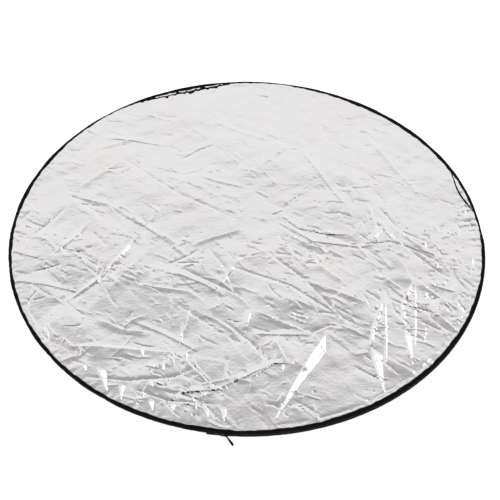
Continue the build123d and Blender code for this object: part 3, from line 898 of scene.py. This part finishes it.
def zip_bottom_section(angle):
    """The lower binding along the zip: under the back sheet, and turned up over the zip tape."""
    pucker = waves(angle, PUCKERS)
    up = [(-8.5, 0.6), (-6.0, 0.55), (-2.4, 0.5), (-1.1, 0.75), (-0.5, 1.4), (-0.4, 2.2), (-0.45, 3.0)]
    path = [(r * MM, z * MM) for r, z in up]
    sway = [0, 0, 0, 0.2, 0.5, 0.8, 1]
    return swayed_tape(path, sway, pucker, 0.5 * max(0, pucker))


sewn_edge = swept_band(
    "sewn_edge_binding", sewn_section, np.linspace(ZIP_END, SEWN_END, 1060), binding_cloth
)
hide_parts("rim_binding")
zip_angles = np.linspace(ZIP_START, ZIP_END, 480)
zip_top_edge = swept_band("zip_top_binding", zip_top_section, zip_angles, binding_cloth)
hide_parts("front_zip_binding", "front_zip_binding_ends")
zip_bottom_edge = swept_band("zip_bottom_binding", zip_bottom_section, zip_angles, binding_cloth)
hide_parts("back_zip_binding")

front_stitches = stitched_seam(
    "front_stitches", hem_line, lambda angle: top_height(angle) + 0.12 * MM, ZIP_START, SEWN_END, 1,
    black_thread,
)
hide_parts("front_seam_thread", "front_seam_thread_flap")
back_stitches = stitched_seam(
    "back_stitches", lambda angle: thread_radius, lambda angle: 0.25 * MM, 0, 360, -1, black_thread
)
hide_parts("back_seam_thread")


def loose_hem(name, start, end, depth, terms):
    """The binding's inner hem where it stands clear of the rim on the silver sheet, between two angles."""

    def section(angle):
        share = (angle - start) / (end - start)
        reach = math.sin(math.pi * share) ** 0.8 if 0 < share < 1 else 0.0
        middle = rim_radius - 7 * MM - (depth - 7 * MM) * reach + waves(angle, terms) * reach
        half = (0.9 + 0.7 * reach) * MM + abs(waves(angle, terms)) * 0.6
        level = rim_top - 0.35 * MM + 0.5 * MM * reach
        return [
            (middle - half, level - 0.3 * MM),
            (middle - 0.5 * half, level + 0.2 * MM),
            (middle + 0.5 * half, level + 0.2 * MM),
            (middle + half, level - 0.3 * MM),
            (middle, level - 0.6 * MM),
        ]

    piece = swept_band(name, section, np.linspace(start, end, 160), binding_cloth)
    return piece


right_hem = loose_hem("loose_hem_right", 9, 24, 21 * MM, [(37, 0.6 * MM, 0.4), (90, 0.3 * MM, 1.0)])
back_hem = loose_hem(
    "loose_hem_back", 95, 121, 20 * MM, [(53, 2.0 * MM, 0.4), (151, 1.8 * MM, 1.0), (271, 1.1 * MM, 2.0)]
)

# ---- zip


def tape_piece(name, low, high, nodes):
    """One zip tape, as a woven strip."""
    inner = rim_radius - 1.6 * MM

    def section(angle):
        ripple = waves(angle, [(89, 0.08 * MM, 0.5), (157, 0.05 * MM, 2.0)])
        middle = (low + high) / 2
        near, far = inner + ripple, inner + 0.7 * MM + ripple
        return [(near, low), (near, middle), (near, high), (far, high), (far, middle), (far, low)]

    piece = swept_band(name, section, np.linspace(ZIP_START, ZIP_END, 400), tape_cloth)
    crisp(piece, 40)
    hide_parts(*nodes)
    return piece


def coil_piece(name, level, shift, nodes):
    """One row of zip coil: a flattened spiral of nylon wire along the tape."""
    pitch, wire = 2.1 * MM, 0.36 * MM
    middle = rim_radius - 0.05 * MM
    length = math.radians(COIL_END - COIL_START) * middle
    per_turn, sides = 12, 5
    samples = int(length / pitch) * per_turn
    step = np.arange(samples) / per_turn
    turn = 2 * np.pi * step
    angle = np.radians(COIL_START) + (step + shift) * pitch / middle
    radial, upward = np.sin(turn), np.cos(turn)
    ring_radius = middle + 0.5 * MM * radial
    ring_height = level + 1.35 * MM * upward
    out = np.column_stack([np.cos(angle), np.sin(angle), np.zeros(samples)])
    line = out * ring_radius[:, None] + np.array([0, 0, 1]) * ring_height[:, None]
    tangent = np.gradient(line, axis=0)
    tangent /= np.linalg.norm(tangent, axis=1)[:, None]
    along = np.column_stack([-np.sin(angle), np.cos(angle), np.zeros(samples)])
    side = along - tangent * np.sum(along * tangent, axis=1)[:, None]
    side /= np.linalg.norm(side, axis=1)[:, None]
    other = np.cross(tangent, side)
    rings = [
        line + wire * (math.cos(2 * math.pi * k / sides) * side + math.sin(2 * math.pi * k / sides) * other)
        for k in range(sides)
    ]
    vertices = np.stack(rings, axis=1).reshape(-1, 3)
    piece = add_mesh(name, vertices, tube_faces(samples, sides), coil_nylon)
    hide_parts(*nodes)
    return piece


upper_tape = tape_piece("zip_tape_top", tape_low.z, tape_high.z, ["zip_tape_upper", "zip_tape_upper_ends"])
lower_tape = tape_piece("zip_tape_bottom", rim_top - tape_high.z, rim_top - tape_low.z, ["zip_tape_lower"])
upper_coil = coil_piece("zip_coil_top", zip_level + 1.75 * MM, 0.0, ["zip_coil_upper", "zip_coil_upper_ends"])
lower_coil = coil_piece("zip_coil_bottom", zip_level - 1.75 * MM, 0.5, ["zip_coil_lower"])


def pull_grip():
    """The moulded grip on the outer part of the zip's pull tab, along the CAD tab."""
    low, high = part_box("pull_tab")
    swing = next(joint for joint in frame["joints"] if joint["name"] == "tab_swing")
    pivot = np.array(swing["pos_m"])
    along = np.array([high.x - pivot[0], low.y - pivot[1], 0.0])
    along /= np.linalg.norm(along)
    across = np.array([-along[1], along[0], 0.0])
    upward = np.array([0, 0, 1.0])
    # distance from the pivot, half thickness and half height, in millimetres
    stations = [
        (7.5, 0.9, 2.2), (7.8, 1.5, 3.0), (9, 1.8, 3.6), (11, 1.5, 3.5), (12, 1.9, 3.7), (14, 1.6, 3.6),
        (15, 2.0, 3.8), (17, 1.7, 3.7), (18.5, 2.1, 4.1), (22.5, 2.3, 4.4), (25.5, 2.0, 4.0),
        (27.0, 1.3, 2.8), (27.4, 0.4, 1.2),
    ]
    sides = 20
    vertices = []
    for distance, thick, tall in stations:
        for side in range(sides):
            turn = 2 * math.pi * side / sides
            shape = math.copysign(abs(math.cos(turn)) ** 0.7, math.cos(turn))
            rise = math.copysign(abs(math.sin(turn)) ** 0.7, math.sin(turn))
            vertices.append(
                pivot + along * distance * MM + across * shape * thick * MM + upward * rise * tall * MM
            )
    piece = add_mesh("pull_grip", vertices, tube_faces(len(stations), sides, flip=True), rubber)
    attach(piece, "pull_tab")


pull_grip()

# ---- which body each piece rides on

for piece in (front_film, front_lining, zip_top_edge, front_stitches, upper_tape, upper_coil):
    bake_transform(piece)
for piece in (
    back_film, back_lining, diffuser, hoop_binding, hoop_stitches, sewn_edge, zip_bottom_edge, back_stitches,
    lower_tape, lower_coil, right_hem, back_hem,
):
    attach(piece, "cover")

CAD_MATERIALS = {name: spring_steel for name in ("spring_band", "band_sleeve", "band_rivets")} | {
    name: zip_metal
    for name in ("slider_body", "slider_crown", "pull_tab", "zip_top_stops", "zip_bottom_stop")
}
for name, material in CAD_MATERIALS.items():
    data = frame["nodes"][name].data
    data.materials.clear()
    data.materials.append(material)


# ---- stage, light and camera


def make_floor():
    """A pale floor that the disc lies on."""
    size = 30.0
    corners = [(-size, -size, 0), (size, -size, 0), (size, size, 0), (-size, size, 0)]
    material, nodes, links, shader = new_material("floor_white")
    place = nodes.new("ShaderNodeTexCoord").outputs["Object"]
    mottle = noise(nodes, links, place, 3.0)
    tint = two_colours(nodes, links, mottle, (0.89, 0.89, 0.89), (0.91, 0.91, 0.91))
    links.new(tint, shader.inputs["Base Color"])
    shader.inputs["Roughness"].default_value = 0.9
    shader.inputs["Emission Color"].default_value = (1, 1, 1, 1)
    shader.inputs["Emission Strength"].default_value = 0.75
    floor = add_mesh("floor", corners, [(0, 1, 2, 3)], material, smooth=False)
    floor.location.z = -0.3 * MM


# Soft boxes and the dark ceiling behind the camera: compass angle from +Y towards +X, elevation, half
# width and strength
SOFT_BOXES = [(45, 55, 6, 1.1), (38, 39, 6, 1.0), (180, 71, 16, -0.36)]
# The studio's brightness by the sine of the elevation: bright walls that darken towards the ceiling
WALLS = [
    (0.0, 0.70), (0.15, 0.85), (0.30, 1.0), (0.45, 0.91), (0.65, 0.88), (0.74, 0.86), (0.80, 0.62),
    (0.87, 0.42), (1.0, 0.33),
]


def make_world():
    """Soft studio light all round, with soft boxes in it."""
    world = bpy.data.worlds.new("studio")
    bpy.context.scene.world = world
    world.use_nodes = True
    nodes, links = world.node_tree.nodes, world.node_tree.links
    direction = nodes.new("ShaderNodeTexCoord").outputs["Generated"]
    split = nodes.new("ShaderNodeSeparateXYZ")
    links.new(direction, split.inputs["Vector"])
    ramp = nodes.new("ShaderNodeValToRGB")
    elements = ramp.color_ramp.elements
    for index, (position, value) in enumerate(WALLS):
        if index in (0, len(WALLS) - 1):
            element = elements[0 if index == 0 else -1]
            element.position = position
        else:
            element = elements.new(position)
        element.color = (value, value, value, 1)
    links.new(split.outputs["Z"], ramp.inputs["Fac"])
    total = ramp.outputs["Color"]
    for compass, elevation, spread, strength in SOFT_BOXES:
        turn, rise = math.radians(compass), math.radians(elevation)
        facing = nodes.new("ShaderNodeVectorMath")
        facing.operation = "DOT_PRODUCT"
        links.new(direction, facing.inputs[0])
        facing.inputs[1].default_value = (
            math.sin(turn) * math.cos(rise), math.cos(turn) * math.cos(rise), math.sin(rise)
        )
        glow = nodes.new("ShaderNodeMapRange")
        glow.interpolation_type = "SMOOTHSTEP"
        glow.inputs["From Min"].default_value = math.cos(math.radians(spread * 1.25))
        glow.inputs["From Max"].default_value = math.cos(math.radians(spread * 0.85))
        glow.inputs["To Max"].default_value = strength
        links.new(facing.outputs["Value"], glow.inputs["Value"])
        add = nodes.new("ShaderNodeVectorMath")
        add.operation = "ADD"
        links.new(total, add.inputs[0])
        links.new(glow.outputs["Result"], add.inputs[1])
        total = add.outputs["Vector"]
    links.new(total, nodes["Background"].inputs["Color"])


def make_camera():
    """The camera at the front of the disc, looking down on it."""
    distance, elevation, roll = 3.0, math.radians(47.65), math.radians(0.55)
    target = np.array([0.0075, -0.0320, 0.0])
    data = bpy.data.cameras.new("camera")
    data.lens = 93.4
    data.sensor_width = 36.0
    camera = bpy.data.objects.new("camera", data)
    camera.location = target + distance * np.array([0, -math.cos(elevation), math.sin(elevation)])
    camera.rotation_euler = (math.pi / 2 - elevation, 0, 0)
    camera.rotation_euler.rotate_axis("Z", roll)
    bpy.context.scene.collection.objects.link(camera)
    bpy.context.scene.camera = camera


make_floor()
make_world()
make_camera()
bpy.context.scene.view_settings.view_transform = "Standard"
